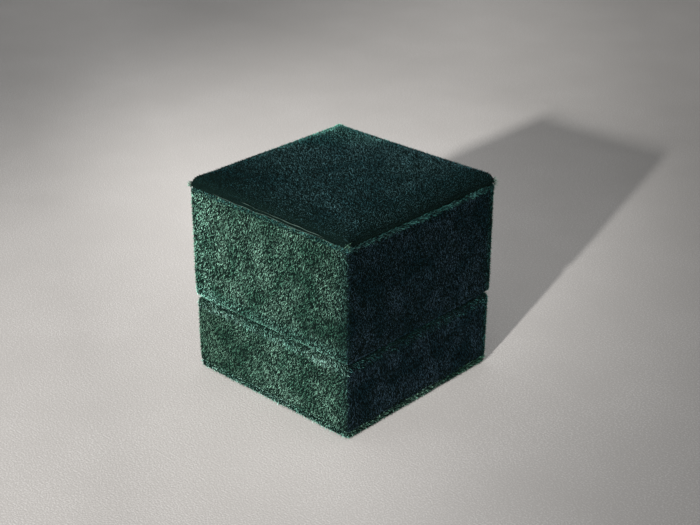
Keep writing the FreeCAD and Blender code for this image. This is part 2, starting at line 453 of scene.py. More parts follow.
@dataclass(frozen=True)
class SatinFinish:
    """Smooth satin: long floats that shine along one way, with faint slubs."""

    name: str
    colour: Colour
    light: Colour
    slub: float = 0.35

    def material(self, groups: Groups) -> bpy.types.Material:
        """Builds the material.

        Args:
            groups: The shared shader groups.

        Returns:
            The material.
        """
        tree, shader, material = start_material(self.name)
        weave = group_node(tree, groups.weave, {"Thread": 0.16 * MM})
        brushed = group_node(tree, groups.brushed, {"Size": 11 * MM})
        colour = tree.mix(brushed.outputs["Patch"], rgba(self.colour), rgba(self.light))
        slub = tree.ramp(weave.outputs["Warp"], 0.0, 1.0, 0.0, self.slub)
        tree.feed(shader.inputs["Base Color"], tree.mix(slub, colour, rgba(self.light)))
        tree.feed(shader.inputs["Roughness"], tree.ramp(weave.outputs["Height"], 0.0, 1.0, 0.28, 0.42))
        bumped(tree, shader, weave.outputs["Warp"], 0.35, 0.05 * MM)
        set_constants(shader, {"Anisotropic": 0.5, "Sheen Weight": 0.25})
        return material


@dataclass(frozen=True)
class PulpFinish:
    """Greyboard, card or gummed paper."""

    name: str
    colour: Colour
    speck: Colour
    fibre: float = 0.5 * MM
    roughness: float = 0.9

    def material(self, groups: Groups) -> bpy.types.Material:
        """Builds the material, with fibres and specks.

        Args:
            groups: The shared shader groups.

        Returns:
            The material.
        """
        tree, shader, material = start_material(self.name)
        pulp = group_node(tree, groups.pulp, {"Fibre": self.fibre})
        speck = tree.maths("MULTIPLY", pulp.outputs["Speck"], 0.5)
        colour = tree.mix(speck, rgba(self.colour), rgba(self.speck))
        shade = tree.ramp(pulp.outputs["Height"], 0.3, 0.7, 0.82, 1.12)
        tree.feed(shader.inputs["Base Color"], tree.mix(1.0, colour, tree.grey(shade), "MULTIPLY"))
        bumped(tree, shader, pulp.outputs["Height"], 0.4, 0.08 * MM)
        set_constants(shader, {"Roughness": self.roughness})
        return material


@dataclass(frozen=True)
class FoamFinish:
    """Open-celled foam."""

    name: str
    colour: Colour
    pore: Colour
    cell: float = 0.45 * MM

    def material(self, groups: Groups) -> bpy.types.Material:
        """Builds the material, with small cells darkened as painted shade in the open pores.

        Args:
            groups: The shared shader groups.

        Returns:
            The material.
        """
        tree, shader, material = start_material(self.name)
        voronoi = tree.add("ShaderNodeTexVoronoi", {"Vector": tree.place(), "Scale": 1.0 / self.cell})
        cells = voronoi.outputs["Distance"]
        # The cells' dark colour is painted shade in the open pores.
        open_share = tree.ramp(cells, 0.1, 0.55, 1.0, 0.0)
        brushed = group_node(tree, groups.brushed, {"Size": 12 * MM})
        pore = tree.maths("MULTIPLY", open_share, tree.ramp(brushed.outputs["Fine"], 0.0, 1.0, 0.3, 0.8))
        tree.feed(shader.inputs["Base Color"], tree.mix(pore, rgba(self.colour), rgba(self.pore)))
        bumped(tree, shader, cells, 0.6, 0.2 * MM)
        set_constants(shader, {"Roughness": 0.95})
        return material


@dataclass(frozen=True)
class FloorFinish:
    """A pale, finely textured floor, with broad random changes of tone and painted shade where the light
    falls off.
    """

    name: str
    colour: Colour
    dark: Colour
    tooth: float = 0.42 * MM
    cloud: float = 22 * MM
    broad: float = 90 * MM
    # Painted shade: darker towards the right and back, further towards the back, and towards the front left.
    painted_lights: tuple[PaintedLight, ...] = (
        PaintedLight((0.72, 0.72, 0.72), (0.8, 0.6, 0.0), (25.0, 95.0)),
        PaintedLight((0.62, 0.62, 0.62), (0.0, 1.0, 0.0), (40.0, 190.0)),
        PaintedLight((0.76, 0.76, 0.76), (-0.5, -0.87, 0.0), (14.0, 60.0)),
    )

    def material(self, groups: Groups) -> bpy.types.Material:
        """Builds the material, with a fine tooth, faint clouds and the painted shade.

        Args:
            groups: The shared shader groups.

        Returns:
            The material.
        """
        tree, shader, material = start_material(self.name)
        place = tree.place()
        tooth = tree.noise(place, 1.0 / self.tooth, 3.0)
        clouds = tree.ramp(tree.noise(place, 1.0 / self.cloud, 5.0), 0.3, 0.7, 0.0, 0.5)
        grain = tree.ramp(tooth, 0.35, 0.65, -0.3, 1.7)
        toned = tree.mix(tree.maths("ADD", clouds, grain), rgba(self.colour), rgba(self.dark))
        broad = tree.ramp(tree.noise(place, 1.0 / self.broad, 2.0), 0.4, 0.65, 0.0, 0.35)
        toned = tree.mix(broad, toned, rgba(self.dark))
        for painted in self.painted_lights:
            toned = painted.over(tree, place, toned)
        tree.feed(shader.inputs["Base Color"], toned)
        bumped(tree, shader, tooth, 0.4, 0.2 * MM)
        set_constants(shader, {"Roughness": 0.85, "Specular IOR Level": 0.25})
        return material


class Finishes:
    """Every material, made once."""

    def __init__(self) -> None:
        """Builds the shared groups and then the materials."""
        groups = Groups()
        left, right, front, back = (-1.0, 0.0, 0.0), (1.0, 0.0, 0.0), (0.0, -1.0, 0.0), (0.0, 1.0, 0.0)
        down, back_corner, front_corner = (0.0, 0.0, -1.0), (-0.707, 0.707, 0.0), (-0.707, -0.707, 0.0)
        deep, dark, teal_root = (0.001, 0.006, 0.004), (0.001, 0.006, 0.006), (0.002, 0.012, 0.011)
        green = {"root": deep, "tip": (0.195, 0.378, 0.285), "pressed": (0.068, 0.182, 0.125)}
        # Painted shade: darker and bluer towards the right-hand end of a front face, where it turns away from
        # the light.
        turned = PaintedLight((0.36, 0.46, 0.54), right, (21.0, 25.0))
        # Painted highlight: the tint that lightens the top's back and left edges.
        rim = (1.35, 1.5, 1.3)
        self.pile = PileFinish("velvet_pile", **green).material(groups)
        # The lid's front velvet with painted light: painted shade at its right-hand end and towards its lower
        # right, painted highlight towards its left end and along its lower edge.
        self.front = PileFinish("velvet_pile_lid_front", **green, painted_lights=(
            turned,
            PaintedLight((1.35, 1.42, 1.45), left, (15.0, 24.0)),
            PaintedLight((0.62, 0.66, 0.66), (0.6, 0.0, -0.8), (-30.0, -9.0)),
            PaintedLight((1.2, 1.32, 1.4), down, (-23.4, -21.2)),
        )).material(groups)
        # The base's front velvet with painted shade: darker at its right-hand end and towards its left end.
        self.low_front = PileFinish(
            "velvet_pile_base_front", deep, (0.165, 0.322, 0.242), (0.058, 0.155, 0.106),
            painted_lights=(turned, PaintedLight((0.60, 0.64, 0.60), left, (-4.0, 18.0))),
        ).material(groups)
        # A darker, bluer shaded copy of the velvet for the right-hand faces: painted shade, with a painted
        # highlight towards the back corner.
        self.shaded = PileFinish(
            "velvet_pile_upright", (0.002, 0.005, 0.006), (0.076, 0.138, 0.186), (0.022, 0.064, 0.090),
            glint=3.8, painted_lights=(PaintedLight((1.0, 2.6, 1.3), back, (22.0, 25.5)),),
        ).material(groups)
        # Fibres along the lid's top seam, their teal hue painted as the sheen highlight there.
        self.teal = PileFinish(
            "velvet_rim_fibres", teal_root, (0.080, 0.235, 0.215), (0.034, 0.135, 0.122)
        ).material(groups)
        # Fibres for the right-hand top seam: a painted highlight line, with painted shade towards its front
        # and back ends.
        self.seam = PileFinish(
            "velvet_seam_fibres", teal_root, (0.060, 0.176, 0.161), (0.020, 0.081, 0.073),
            painted_lights=(PaintedLight((0.5, 0.5, 0.5), front, (0.0, 16.0)), PaintedLight((0.4, 0.4, 0.4), back, (17.0, 23.0))),
        ).material(groups)
        # Dark fibres for the base's right-hand rim: painted shade, with a painted highlight towards the back.
        self.faint = PileFinish(
            "velvet_faint_fibres", dark, (0.036, 0.120, 0.112), (0.012, 0.050, 0.048),
            painted_lights=(PaintedLight((1.4, 1.4, 1.4), back, (-6.0, 16.0)),),
        ).material(groups)
        # Fibres for the bottom panel's right-hand edge: painted shade, with a painted highlight towards the
        # back.
        self.under = PileFinish(
            "velvet_under_fibres", deep, (0.105, 0.225, 0.175), (0.036, 0.105, 0.078),
            painted_lights=(PaintedLight((1.7, 2.0, 1.7), back, (10.0, 24.0)),),
        ).material(groups)
        # Lighter fibres for the lit rims of the base and the bottom panel: a painted highlight where the
        # rolled edges catch the light.
        self.light = PileFinish(
            "velvet_worn_fibres", (0.010, 0.035, 0.028), (0.270, 0.480, 0.410), (0.140, 0.320, 0.260)
        ).material(groups)
        # The top's velvet: a darker shaded copy with painted light: painted highlight towards the back-left
        # corner and along the back and left edges, painted shade towards the front-left corner and down
        # towards the seam.
        self.top = PileFinish(
            "velvet_pile_top", dark, (0.080, 0.180, 0.196), (0.030, 0.092, 0.108), 12 * MM,
            painted_lights=(
                PaintedLight((2.3, 2.7, 2.2), back_corner, (14.0, 31.0)),
                PaintedLight(rim, back, (22.0, 24.8)),
                PaintedLight(rim, left, (19.0, 24.8)),
                PaintedLight((0.34, 0.42, 0.42), front_corner, (4.0, 26.0)),
                # Painted shade: darker down the panel's rolled edge towards the seam.
                PaintedLight((0.22, 0.22, 0.22), down, (-50.4, -48.2)),
            ),
        ).material(groups)
        self.backing = BackingFinish(
            "velvet_backing", (0.001, 0.005, 0.004), (0.004, 0.013, 0.010)
        ).material(groups)
        self.raw_edge = BackingFinish("raw_edge", (0.04, 0.075, 0.062), (0.13, 0.18, 0.155)).material(groups)
        self.satin = SatinFinish("satin", (0.020, 0.085, 0.062), (0.045, 0.150, 0.115)).material(groups)
        self.board = PulpFinish("greyboard", (0.30, 0.285, 0.255), (0.13, 0.12, 0.11)).material(groups)
        self.card = PulpFinish("card", (0.66, 0.62, 0.54), (0.50, 0.44, 0.34), 0.35 * MM).material(groups)
        self.tape = PulpFinish(
            "gummed_paper", (0.46, 0.31, 0.17), (0.30, 0.18, 0.09), 0.3 * MM, 0.7
        ).material(groups)
        self.foam = FoamFinish("foam", (0.78, 0.74, 0.62), (0.42, 0.38, 0.28)).material(groups)
        self.floor = FloorFinish("floor", (0.79, 0.762, 0.736), (0.63, 0.602, 0.575)).material(groups)


# ------------------------------------------------------------------ shapes
@dataclass(frozen=True)
class Corner:
    """One corner of a profile: its place, its radius, how far the pile stands there, and its rim fibres."""

    out: float
    z: float
    radius: float = 0.0
    growth: float = 1.0
    rim: float = 0.0


class Reach(Enum):
    """Which number of a profile's row says how far its fibres stand."""

    PILE = 2
    RIM = 3


def rounded(line: Line, step: float, arc_steps: int = 5) -> np.ndarray:
    """Turns a profile's corners into points, with its corners as arcs.

    Args:
        line: The corners in order.
        step: The longest distance between two points on a straight run.
        arc_steps: How many pieces each arc has.

    Returns:
        Rows of out, z, growth and rim fibres.
    """
    rows: list[np.ndarray] = []
    at = np.array([[c.out, c.z, c.growth, c.rim] for c in line])
    for i, corner in enumerate(line):
        if corner.radius == 0 or i in (0, len(line) - 1):
            rows.append(at[i])
            continue
        back = at[i - 1, :2] - at[i, :2]
        ahead = at[i + 1, :2] - at[i, :2]
        back /= np.linalg.norm(back)
        ahead /= np.linalg.norm(ahead)
        half_angle = math.acos(np.clip(back @ ahead, -1, 1)) / 2
        middle = (back + ahead) / np.linalg.norm(back + ahead) * corner.radius / math.sin(half_angle)
        reach = corner.radius / math.tan(half_angle)
        start = back * reach - middle
        end = ahead * reach - middle
        turn = math.acos(np.clip(start @ end / corner.radius**2, -1, 1))
        for k in range(arc_steps + 1):
            share = k / arc_steps
            spread = (math.sin((1 - share) * turn) * start + math.sin(share * turn) * end) / math.sin(turn)
            rows.append(np.array([*(at[i, :2] + middle + spread), corner.growth, corner.rim]))
    points = [rows[0]]
    for row in rows[1:]:
        run = np.linalg.norm(row[:2] - points[-1][:2])
        parts = max(1, math.ceil(run / step))
        points.extend(points[-1] + (row - points[-1]) * (k / parts) for k in range(1, parts + 1))
    return np.array(points)


def ring(
    half: float, corner: float, steps: int, arc_steps: int, sides: list[Side]
) -> tuple[np.ndarray, np.ndarray]:
    """Finds points along a rounded square about the Z axis, with their outward directions.

    Args:
        half: Half the square's side.
        corner: The radius at its corners.
        steps: How many pieces each straight side has.
        arc_steps: How many pieces each half corner has.
        sides: Which sides to follow, in order. Each starts and ends at the middle of a corner.

    Returns:
        The points and the directions. Four sides give a closed loop, without its first point again.
    """
    roundest = 0.98
    corner = min(corner, half * roundest)
    straight = half - corner
    places = []
    outward = []
    for side in sides:
        turn = side.value * QUARTER_TURN
        along = np.array([math.cos(turn), math.sin(turn)])
        out = np.array([math.sin(turn), -math.cos(turn)])
        for k in range(arc_steps, 0, -1):
            angle = k / arc_steps * math.pi / 4
            direction = out * math.cos(angle) - along * math.sin(angle)
            places.append(-along * straight + out * straight + direction * corner)
            outward.append(direction)
        for k in range(steps + 1):
            places.append(along * straight * (2 * k / steps - 1) + out * half)
            outward.append(out)
        for k in range(1, arc_steps + 1):
            angle = k / arc_steps * math.pi / 4
            direction = out * math.cos(angle) + along * math.sin(angle)
            places.append(along * straight + out * straight + direction * corner)
            outward.append(direction)
        if len(sides) > 1:
            places.pop()
            outward.pop()
    return np.array(places), np.array(outward)


def waves(points: np.ndarray, length: float, seed: int) -> np.ndarray:
    """Gives a gentle unevenness, made of a few waves.

    Args:
        points: Where it is wanted.
        length: About how long the waves are.
        seed: The seed of their directions.

    Returns:
        A number from -1 to 1 at each point.
    """
    draw = np.random.default_rng(seed)
    total = np.zeros(len(points))
    count = 7
    for _ in range(count):
        way = draw.normal(size=3)
        way *= WHOLE_TURN / (np.linalg.norm(way) * length * draw.uniform(0.6, 1.5))
        total += np.sin(points @ way + draw.uniform(0, WHOLE_TURN))
    return total / count


def quads(rows: int, across: int, rows_closed: bool, across_closed: bool) -> list[tuple[int, ...]]:
    """Lists the faces between the neighbouring points of a grid.

    Args:
        rows: How many rows the grid has.
        across: How many points each row has.
        rows_closed: Whether the last row joins the first.
        across_closed: Whether each row's last point joins its first.

    Returns:
        The points of each face.
    """
    faces = []
    for i in range(rows if rows_closed else rows - 1):
        ahead = (i + 1) % rows
        for j in range(across if across_closed else across - 1):
            beside = (j + 1) % across
            faces.append((i * across + j, i * across + beside, ahead * across + beside, ahead * across + j))
    return faces


def in_scene(name: str, mesh: bpy.types.Mesh) -> bpy.types.Object:
    """Puts a mesh in the scene.

    Args:
        name: The new object's name.
        mesh: The mesh.

    Returns:
        The object.
    """
    piece = bpy.data.objects.new(name, mesh)
    bpy.context.scene.collection.objects.link(piece)
    return piece


def set_growth(mesh: bpy.types.Mesh, amount: np.ndarray) -> None:
    """Stores how far a pile stands at each of a mesh's points."""
    attribute = mesh.attributes.new("growth", "FLOAT", "POINT")
    attribute.data.foreach_set("value", amount.astype(np.float32))


def new_piece(name: str, points: np.ndarray, faces: list, material: bpy.types.Material) -> bpy.types.Object:
    """Makes a smooth mesh object.

    Args:
        name: Its name.
        points: Its points.
        faces: The points of each face.
        material: Its material.

    Returns:
        The object.
    """
    mesh = bpy.data.meshes.new(name)
    mesh.from_pydata([tuple(p) for p in points], [], faces)
    mesh.materials.append(material)
    piece = in_scene(name, mesh)
    mesh.shade_smooth()
    return piece


def cleaned(piece: bpy.types.Object) -> bpy.types.Object:
    """Merges a closed mesh's doubled points and turns its faces outwards.

    Args:
        piece: The object with the mesh.

    Returns:
        The same object.
    """
    mesh = bmesh.new()
    mesh.from_mesh(piece.data)
    bmesh.ops.remove_doubles(mesh, verts=mesh.verts, dist=0.002 * MM)
    bmesh.ops.dissolve_degenerate(mesh, edges=mesh.edges, dist=0.001 * MM)
    bmesh.ops.recalc_face_normals(mesh, faces=mesh.faces)
    mesh.to_mesh(piece.data)
    mesh.free()
    return piece


def replaced_mesh(piece: bpy.types.Object) -> bpy.types.Object:
    """Gives a piece the mesh that its modifiers make, and removes them.

    Args:
        piece: The object.

    Returns:
        The same object.
    """
    graph = bpy.context.evaluated_depsgraph_get()
    made = bpy.data.meshes.new_from_object(piece.evaluated_get(graph))
    piece.modifiers.clear()
    old = piece.data
    piece.data = made
    bpy.data.meshes.remove(old)
    return piece


# ------------------------------------------------------------------ pile
@dataclass(frozen=True)
class Pile:
    """How a pile grows: its spacing, its tufts' size, and how they lean."""

    spacing: float = 0.205 * MM
    length: float = 0.6 * MM
    width: float = 0.185 * MM
    stand: float = 0.5
    lean: float = 0.6
    ruffle: float = 0.8
    jitter: float = 0.6
    ruffle_size: float = 7 * MM


@dataclass(frozen=True)
class Brush:
    """A pile with the way it is brushed and its finish."""

    pile: Pile
    nap: tuple[float, float, float]
    finish: bpy.types.Material


FINE = Pile(spacing=0.215 * MM, length=0.6 * MM, width=0.19 * MM, stand=0.6, lean=0.8, ruffle=0.4, jitter=0.4)
CALM = Pile(stand=0.6, lean=0.6, ruffle=0.4, jitter=0.45)


class PileTree:
    """The Geometry Nodes tree that grows a pile on a bed, as closed three-sided tufts."""

    NUMBERS = ("Spacing", "Length", "Width", "Stand", "Lean", "Ruffle", "Jitter", "Ruffle Size")
    SPIN_SEED = 11
    HEIGHT_SEED = 12
    TONE_SEED = 13
    STRAY_SEED = 14

    def __init__(self) -> None:
        """Builds the tree once, for every pile."""
        self.group = bpy.data.node_groups.new("pile", "GeometryNodeTree")
        face = self.group.interface
        face.new_socket("Bed", in_out="INPUT", socket_type="NodeSocketGeometry")
        for name in self.NUMBERS:
            face.new_socket(name, in_out="INPUT", socket_type="NodeSocketFloat")
        face.new_socket("Nap", in_out="INPUT", socket_type="NodeSocketVector")
        face.new_socket("Seed", in_out="INPUT", socket_type="NodeSocketInt")
        face.new_socket("Finish", in_out="INPUT", socket_type="NodeSocketMaterial")
        face.new_socket("Pile", in_out="OUTPUT", socket_type="NodeSocketGeometry")
        self.keys = {item.name: item.identifier for item in face.items_tree if item.in_out == "INPUT"}
        self._wire(Tree(self.group))

    def _wire(self, tree: Tree) -> None:
        """Adds the nodes.

        Args:
            tree: The tree to fill.
        """
        given = tree.add("NodeGroupInput").outputs
        put = tree.add("NodeGroupOutput").inputs
        gap = tree.maths("MULTIPLY", given["Spacing"], given["Spacing"])
        scatter = tree.add(
            "GeometryNodeDistributePointsOnFaces",
            {"Mesh": given["Bed"], "Seed": given["Seed"]},
            distribute_method="POISSON",
        )
        tree.feed(scatter.inputs["Distance Min"], given["Spacing"])
        crowding = 2.2
        tree.feed(scatter.inputs["Density Max"], tree.maths("DIVIDE", crowding, gap))
        normal = scatter.outputs["Normal"]
        growth = tree.add("GeometryNodeInputNamedAttribute", {"Name": "growth"}, data_type="FLOAT").outputs[0]
        direction = self._direction(tree, given, normal)
        aligned = tree.add("FunctionNodeAlignRotationToVector", {"Vector": direction}, axis="Z")
        angle = self._random(tree, self.SPIN_SEED, 0.0, WHOLE_TURN)
        spin = tree.add("FunctionNodeAxisAngleToRotation", {"Axis": (0, 0, 1), "Angle": angle})
        turned = tree.add(
            "FunctionNodeRotateRotation", {0: aligned.outputs[0], 1: spin.outputs[0]}, rotation_space="LOCAL"
        )
        height = self._random(tree, self.HEIGHT_SEED, 0.65, 1.2)
        tall = tree.maths("MULTIPLY", height, growth)
        scale = tree.add("ShaderNodeCombineXYZ", {"X": 1.0, "Y": 1.0, "Z": tall})
        sunk = tree.add("GeometryNodeSetPosition", {"Geometry": scatter.outputs["Points"]})
        root_depth = tree.maths("MULTIPLY", given["Width"], -0.35)
        tree.feed(sunk.inputs["Offset"], tree.scaled(normal, root_depth))
        placed = tree.add("GeometryNodeInstanceOnPoints", {
            "Points": sunk.outputs[0], "Instance": self._tuft(tree, given),
            "Rotation": turned.outputs[0], "Scale": scale.outputs[0],
        })
        tone = self._random(tree, self.TONE_SEED, 0.0, 1.0)
        toned = self._named(tree, placed.outputs[0], "tone", tone, "INSTANCE")
        real = tree.add("GeometryNodeRealizeInstances", {"Geometry": toned})
        finish = {"Geometry": real.outputs[0], "Material": given["Finish"]}
        dressed = tree.add("GeometryNodeSetMaterial", finish)
        tree.feed(put["Pile"], dressed.outputs[0])

    @staticmethod
    def _random(tree: Tree, seed: int, low: float, high: float) -> bpy.types.NodeSocket:
        """Returns a number drawn for each tuft."""
        node = tree.add("FunctionNodeRandomValue", {"Seed": seed, 2: low, 3: high}, data_type="FLOAT")
        return node.outputs[1]

    @staticmethod
    def _named(tree: Tree, shape: object, name: str, value: object, domain: str) -> bpy.types.NodeSocket:
        """Stores a number on a shape under a name.

        Args:
            tree: The tree.
            shape: The geometry that carries it.
            name: The attribute's name.
            value: The number.
            domain: What each number belongs to.

        Returns:
            The geometry with it.
        """
        values = {"Geometry": shape, "Name": name}
        store = tree.add("GeometryNodeStoreNamedAttribute", values, data_type="FLOAT", domain=domain)
        tree.feed(store.inputs["Value"], value)
        return store.outputs[0]

    def _direction(self, tree: Tree, given: object, normal: bpy.types.NodeSocket) -> bpy.types.NodeSocket:
        """Finds the way each tuft points: up from the bed, along the nap, and a little its own way.

        Args:
            tree: The tree.
            given: The tree's own inputs.
            normal: The bed's normal at each tuft.

        Returns:
            The direction.
        """
        along = tree.vector("SUBTRACT", given["Nap"], tree.scaled(normal, tree.dot(given["Nap"], normal)))
        place = tree.add("GeometryNodeInputPosition").outputs[0]
        noise = tree.add("ShaderNodeTexNoise", {"Vector": place, "Detail": 2.0})
        tree.feed(noise.inputs["Scale"], tree.maths("DIVIDE", 1.0, given["Ruffle Size"]))
        swirl = tree.scaled(tree.vector("SUBTRACT", noise.outputs["Color"], (0.5, 0.5, 0.5)), given["Ruffle"])
        own = tree.add(
            "FunctionNodeRandomValue", {"Seed": self.STRAY_SEED, 0: (-1, -1, -1), 1: (1, 1, 1)},
            data_type="FLOAT_VECTOR",
        )
        stray = tree.scaled(own.outputs[0], given["Jitter"])
        up = tree.scaled(normal, given["Stand"])
        over = tree.scaled(along, given["Lean"])
        return tree.vector("ADD", tree.vector("ADD", up, over), tree.vector("ADD", swirl, stray))

    def _tuft(self, tree: Tree, given: object) -> bpy.types.NodeSocket:
        """Makes one tuft, which carries how near its tip each of its points is.

        Args:
            tree: The tree.
            given: The tree's own inputs.

        Returns:
            The tuft.
        """
        cone = tree.add("GeometryNodeMeshCone", {
            "Vertices": 3, "Radius Top": 0.0, "Depth": given["Length"],
            "Radius Bottom": tree.maths("MULTIPLY", given["Width"], 0.5),
        }, fill_type="NGON")
        place = tree.add("GeometryNodeInputPosition").outputs[0]
        up = tree.add("ShaderNodeSeparateXYZ", {0: place}).outputs["Z"]
        tip = tree.maths("DIVIDE", up, given["Length"])
        return self._named(tree, cone.outputs["Mesh"], "tip", tip, "POINT")

    def grow(self, bed: bpy.types.Object, brush: Brush, seed: int) -> bpy.types.Object:
        """Turns a bed into the pile that grows on it.

        Args:
            bed: A mesh whose faces point the way the pile stands, with a growth attribute on its points.
            brush: The pile, the way it is brushed, and its finish.
            seed: The seed of all that is random in it.

        Returns:
            The same object, now with the tufts as its mesh.
        """
        modifier = bed.modifiers.new("pile", "NODES")
        modifier.node_group = self.group
        for name in self.NUMBERS:
            modifier[self.keys[name]] = getattr(brush.pile, name.lower().replace(" ", "_"))
        modifier[self.keys["Nap"]] = brush.nap
        modifier[self.keys["Seed"]] = seed
        modifier[self.keys["Finish"]] = brush.finish
        piece = replaced_mesh(bed)
        faces_of_a_tuft = 4
        LOG.info("%s: %d tufts", piece.name, len(piece.data.polygons) // faces_of_a_tuft)
        return piece


# ------------------------------------------------------------------ velvet sheets
@dataclass
class VelvetSheet:
    """A sheet of velvet carried round the box, as a profile swept along a rounded square.

    The profile runs so that, seen from above and going round anticlockwise, the pile side faces out.
    """

    name: str
    line: Line
    corner: float
    corner_at: float
    body: str
    nodes: tuple[str, ...]
    flat: tuple[float, float]
    thickness: float = 0.28 * MM
    puff: float = 0.06 * MM
    seed: int = 1
    spans: int = 34
    arc_steps: int = 5
    step: float = 1.3 * MM
    wave: float = 9 * MM
    sharpest: float = 0.25 * MM
    nearest: float = 0.01 * MM

    def rows(self) -> np.ndarray:
        """Returns the profile's points."""
        return rounded(self.line, self.step)

    def surface(self, rows: np.ndarray, sides: list[Side], depth: float) -> np.ndarray:
        """Finds the points of the sheet's face.

        Args:
            rows: The profile's points.
            sides: Which of the box's sides to follow.
            depth: How far behind the pile side the face lies.

        Returns:
            The points, row by row.
        """
        ahead = np.gradient(rows[:, :2], axis=0)
        ahead /= np.linalg.norm(ahead, axis=1, keepdims=True)
        normals = np.stack([ahead[:, 1], -ahead[:, 0]], axis=1)
        faces = []
        for row, normal in zip(rows, normals):
            out = max(row[0], 0.0)
            corner = max(self.corner + out - self.corner_at, self.sharpest)
            flat, outward = ring(max(out, self.nearest), corner, self.spans, self.arc_steps, sides)
            points = np.column_stack([flat, np.full(len(flat), row[1])])
            ways = np.column_stack([outward * normal[0], np.full(len(flat), normal[1])])
            lift = self.puff * waves(points, self.wave, self.seed) - depth
            faces.append(points + ways * lift[:, None])
        return np.array(faces)

    def cloth(self, material: bpy.types.Material) -> bpy.types.Object:
        """Makes the backing cloth as a closed thin shell.

        Args:
            material: Its material.

        Returns:
            The cloth.
        """
        rows = self.rows()
        face = self.surface(rows, list(Side), 0.0)
        behind = self.surface(rows, list(Side), self.thickness)
        loops = np.concatenate([face, behind[::-1]])
        faces = quads(*loops.shape[:2], True, True)
        return cleaned(new_piece(self.name, loops.reshape(-1, 3), faces, material))

    def bed(
        self, name: str, sides: list[Side], material: bpy.types.Material, reach: Reach = Reach.PILE
    ) -> bpy.types.Object:
        """Makes the open mesh that a pile grows on, over the rows where it stands.

        Args:
            name: The piece's name.
            sides: Which sides it is on.
            material: Its material.
            reach: Whether the pile or the rim fibres stand on it.

        Returns:
            The bed.
        """
        rows = self.rows()
        rows = rows[rows[:, reach.value] > BARE]
        face = self.surface(rows, sides, 0.0)
        count, around = face.shape[:2]
        faces = quads(count, around, False, len(sides) == len(Side))
        piece = new_piece(name, face.reshape(-1, 3), faces, material)
        set_growth(piece.data, np.repeat(rows[:, reach.value], around))
        return piece

    def make(
        self,
        tree: PileTree,
        backing: bpy.types.Material,
        brushes: dict[Side, Brush] | Brush,
        rims: dict[Side, Brush] | None = None,
    ) -> None:
        """Makes the cloth and its pile, and ties them to the frame.

        Args:
            tree: What grows the pile.
            backing: The cloth's material.
            brushes: The pile on each side, or one pile all round.
            rims: The loose fibres along the rim on each side that has them.
        """
        cloth = self.cloth(backing)
        piles = []
        if isinstance(brushes, Brush):
            bed = self.bed(self.name.replace("cloth", "pile"), list(Side), brushes.finish)
            piles.append(tree.grow(bed, brushes, self.seed))
        else:
            for side, brush in brushes.items():
                bed = self.bed(self.name.replace("cloth", "pile_" + side.name.lower()), [side], brush.finish)
                piles.append(tree.grow(bed, brush, self.seed + side.value))
        for side, brush in (rims or {}).items():
            name = self.name.replace("cloth", "rim_" + side.name.lower())
            bed = self.bed(name, [side], brush.finish, Reach.RIM)
            piles.append(tree.grow(bed, brush, self.seed + len(Side) + side.value))
        for piece in (cloth, *piles):
            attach(piece, self.body)
        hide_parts(*self.nodes)


# ------------------------------------------------------------------ padded pieces
class Hold(Enum):
    """Which end of a padded piece is glued down while it swells."""

    LOW = 1
    HIGH = -1


def rounded_block(
    name: str,
    low: Vector,
    high: Vector,
    soft: float,
    upright: float,
    hold: Hold,
    material: bpy.types.Material,
) -> bpy.types.Object:
    """Makes a block whose free face has soft edges.

    Args:
        name: The piece's name.
        low: Its lowest corner.
        high: Its highest corner.
        soft: The radius of the free face's edges.
        upright: The radius of its upright edges.
        hold: Which of its level faces isn't free.
        material: Its material.

    Returns:
        The block.
    """
    mesh = bmesh.new()
    bmesh.ops.create_cube(mesh, size=1.0)
    size = high - low
    middle = (high + low) / 2
    for vert in mesh.verts:
        vert.co = Vector(vert.co[i] * size[i] + middle[i] for i in range(3))
    standing = [e for e in mesh.edges if abs(e.verts[0].co.z - e.verts[1].co.z) > size.z / 2]
    bmesh.ops.bevel(mesh, geom=standing, offset=upright, segments=4, profile=0.5, affect="EDGES")
    free_z = high.z if hold is Hold.LOW else low.z
    level = 1e-7
    rim = [e for e in mesh.edges if all(abs(v.co.z - free_z) < level for v in e.verts)]
    bmesh.ops.bevel(mesh, geom=rim, offset=soft, segments=5, profile=0.5, affect="EDGES")
    made = bpy.data.meshes.new(name)
    mesh.to_mesh(made)
    mesh.free()
    made.materials.append(material)
    return in_scene(name, made)


